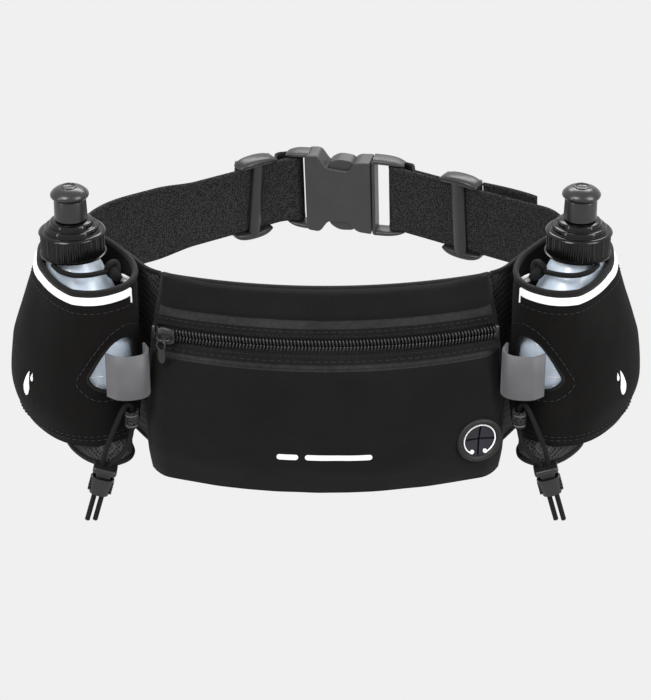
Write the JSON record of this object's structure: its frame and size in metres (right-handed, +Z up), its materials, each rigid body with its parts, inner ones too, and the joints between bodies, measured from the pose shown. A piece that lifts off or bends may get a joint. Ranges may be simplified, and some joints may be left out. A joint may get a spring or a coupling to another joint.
{
  "type": "waist pack",
  "caption": "Running waist pack with a zipped pouch, bottle sleeves, gel loops, race number cords and an elastic webbing belt with a side-release buckle.",
  "frame": {"origin": "middle of the waist loop at half the height of the webbing", "axes": "+Z up along the wearer, -Y out of the front of the pouch, +X to the right of someone looking at the front"},
  "size_m": [0.2906, 0.2277, 0.148],
  "materials": {
    "pouch_fabric": "matt polyester",
    "mesh_fabric": "spacer mesh",
    "neoprene": "matt stretch cloth",
    "binding": "matt tape",
    "reflective": "reflective tape",
    "grey_tape": "satin elastic",
    "webbing": "woven elastic",
    "cord": "braided elastic",
    "buckle_plastic": "fine matt",
    "zip_plastic": "gloss nylon",
    "cap_plastic": "gloss",
    "bottle_plastic": "milky translucent",
    "rubber": "matt",
    "spring_steel": "plain"
  },
  "bodies": {
    "pack": {"back_panel": "mesh_fabric", "pouch_body": "pouch_fabric", "zip_tape_upper": "zip_plastic", "zip_tape_lower": "zip_plastic", "zip_coil_upper": "zip_plastic", "zip_coil_lower": "zip_plastic", "zip_stop_left": "zip_plastic", "zip_stop_right": "zip_plastic", "earphone_port": "rubber", "webbing_left": "webbing", "buckle_socket": "buckle_plastic", "wing_left": "mesh_fabric", "gel_loop_left": "grey_tape", "bib_tab_left": "webbing", "bottle_sleeve_left": "neoprene", "sleeve_cuff_left": "neoprene", "sleeve_binding_left": "binding", "reflective_strip_left": "reflective", "bottle_rest_left": "mesh_fabric", "retention_cord_left": "cord", "retention_tab_left": "grey_tape", "wing_right": "mesh_fabric", "gel_loop_right": "grey_tape", "bib_tab_right": "webbing", "bottle_sleeve_right": "neoprene", "sleeve_cuff_right": "neoprene", "sleeve_binding_right": "binding", "reflective_strip_right": "reflective", "bottle_rest_right": "mesh_fabric", "retention_cord_right": "cord", "retention_tab_right": "grey_tape"},
    "slider": {"zip_slider": "zip_plastic"},
    "pull": {"zip_pull": "zip_plastic"},
    "plug": {"buckle_plug": "buckle_plastic", "webbing_right": "webbing", "webbing_tail": "webbing"},
    "latch_upper": {"latch_upper": "buckle_plastic"},
    "latch_lower": {"latch_lower": "buckle_plastic"},
    "adjuster_left": {"strap_adjuster_left": "buckle_plastic"},
    "adjuster_right": {"strap_adjuster_right": "buckle_plastic"},
    "bottle_left": {"bottle_left": "bottle_plastic"},
    "seal_left": {"cap_seal_left": "rubber"},
    "cap_left": {"bottle_cap_left": "cap_plastic"},
    "spout_left": {"spout_left": "cap_plastic"},
    "bib_left": {"bib_cord_left": "cord"},
    "toggle_left": {"toggle_body_left": "buckle_plastic", "toggle_spring_left": "spring_steel"},
    "toggle_button_left": {"toggle_button_left": "buckle_plastic"},
    "bottle_right": {"bottle_right": "bottle_plastic"},
    "seal_right": {"cap_seal_right": "rubber"},
    "cap_right": {"bottle_cap_right": "cap_plastic"},
    "spout_right": {"spout_right": "cap_plastic"},
    "bib_right": {"bib_cord_right": "cord"},
    "toggle_right": {"toggle_body_right": "buckle_plastic", "toggle_spring_right": "spring_steel"},
    "toggle_button_right": {"toggle_button_right": "buckle_plastic"}
  },
  "joints": [
    {"name": "zip_slide", "type": "hinge", "parent": "pack", "child": "slider", "pos_m": [0, 0.092, 0.0145], "axis": [0, 0, 1], "range_deg": [0, 38.39]},
    {"name": "zip_pull_swing", "type": "hinge", "parent": "slider", "child": "pull", "pos_m": [-0.07148, -0.11334, 0.0145], "axis": [-0.9444, 0.3288, 0], "range_deg": [0, 110]},
    {"name": "bottle_lift_left", "type": "slide", "parent": "pack", "child": "bottle_left", "axis": [-0.0052, 0, 1], "range_m": [0, 0.1], "deforming": ["retention_cord_left", "retention_tab_left", "sleeve_cuff_left", "sleeve_binding_left", "reflective_strip_left"]},
    {"name": "cap_lift_left", "type": "slide", "parent": "bottle_left", "child": "seal_left", "axis": [-0.0052, 0, 1], "range_m": [0, 0.0081]},
    {"name": "cap_turn_left", "type": "hinge", "parent": "seal_left", "child": "cap_left", "pos_m": [-0.11171, -0.078, 0.041], "axis": [-0.0052, 0, 1], "range_deg": [0, 720]},
    {"name": "spout_pull_left", "type": "slide", "parent": "cap_left", "child": "spout_left", "axis": [-0.0052, 0, 1], "range_m": [0, 0.006]},
    {"name": "bib_swing_left", "type": "hinge", "parent": "pack", "child": "bib_left", "pos_m": [-0.0861, -0.109, -0.0225], "axis": [-1, 0, 0], "range_deg": [0, 50], "deforming": ["bib_cord_left"]},
    {"name": "toggle_slide_left", "type": "slide", "parent": "bib_left", "child": "toggle_left", "axis": [-0.2756, 0, -0.9613], "range_m": [0, 0.009]},
    {"name": "toggle_press_left", "type": "slide", "parent": "toggle_left", "child": "toggle_button_left", "axis": [-0.2756, 0, -0.9613], "range_m": [0, 0.0025], "stiffness_N_per_m": 1500, "springref_m": -0.001, "deforming": ["toggle_spring_left"]},
    {"name": "bottle_lift_right", "type": "slide", "parent": "pack", "child": "bottle_right", "axis": [0.0052, 0, 1], "range_m": [0, 0.1], "deforming": ["retention_cord_right", "retention_tab_right", "sleeve_cuff_right", "sleeve_binding_right", "reflective_strip_right"]},
    {"name": "cap_lift_right", "type": "slide", "parent": "bottle_right", "child": "seal_right", "axis": [0.0052, 0, 1], "range_m": [0, 0.0081]},
    {"name": "cap_turn_right", "type": "hinge", "parent": "seal_right", "child": "cap_right", "pos_m": [0.11171, -0.078, 0.041], "axis": [0.0052, 0, 1], "range_deg": [0, 720]},
    {"name": "spout_pull_right", "type": "slide", "parent": "cap_right", "child": "spout_right", "axis": [0.0052, 0, 1], "range_m": [0, 0.006]},
    {"name": "bib_swing_right", "type": "hinge", "parent": "pack", "child": "bib_right", "pos_m": [0.0861, -0.109, -0.0225], "axis": [-1, 0, 0], "range_deg": [0, 50], "deforming": ["bib_cord_right"]},
    {"name": "toggle_slide_right", "type": "slide", "parent": "bib_right", "child": "toggle_right", "axis": [0.2756, 0, -0.9613], "range_m": [0, 0.009]},
    {"name": "toggle_press_right", "type": "slide", "parent": "toggle_right", "child": "toggle_button_right", "axis": [0.2756, 0, -0.9613], "range_m": [0, 0.0025], "stiffness_N_per_m": 1500, "springref_m": -0.001, "deforming": ["toggle_spring_right"]},
    {"name": "adjuster_slide_left", "type": "slide", "parent": "pack", "child": "adjuster_left", "axis": [-0.8192, -0.5735, 0], "range_m": [0, 0.02]},
    {"name": "adjuster_slide_right", "type": "slide", "parent": "plug", "child": "adjuster_right", "axis": [-0.8115, 0.5843, 0], "range_m": [0, 0.012]},
    {"name": "buckle_release", "type": "slide", "parent": "pack", "child": "plug", "axis": [0.9703, -0.2419, 0], "range_m": [0, 0.03], "deforming": ["webbing_right", "latch_upper", "latch_lower"]},
    {"name": "latch_press_upper", "type": "hinge", "parent": "plug", "child": "latch_upper", "pos_m": [0.02537, 0.0799, 0.0138], "axis": [-0.2401, -0.9631, -0.1219], "range_deg": [0, 8], "stiffness_Nm_per_rad": 1, "springref_deg": -1.15},
    {"name": "latch_press_lower", "type": "hinge", "parent": "plug", "child": "latch_lower", "pos_m": [0.02617, 0.08309, -0.013], "axis": [0.2401, 0.9631, 0.1219], "range_deg": [0, 8], "stiffness_Nm_per_rad": 1, "springref_deg": -1.15}
  ],
  "couplings": [
    {"joint": "cap_lift_left", "follows": "cap_turn_left", "m_per_rad": 0.00063662},
    {"joint": "cap_lift_right", "follows": "cap_turn_right", "m_per_rad": 0.00063662}
  ]
}
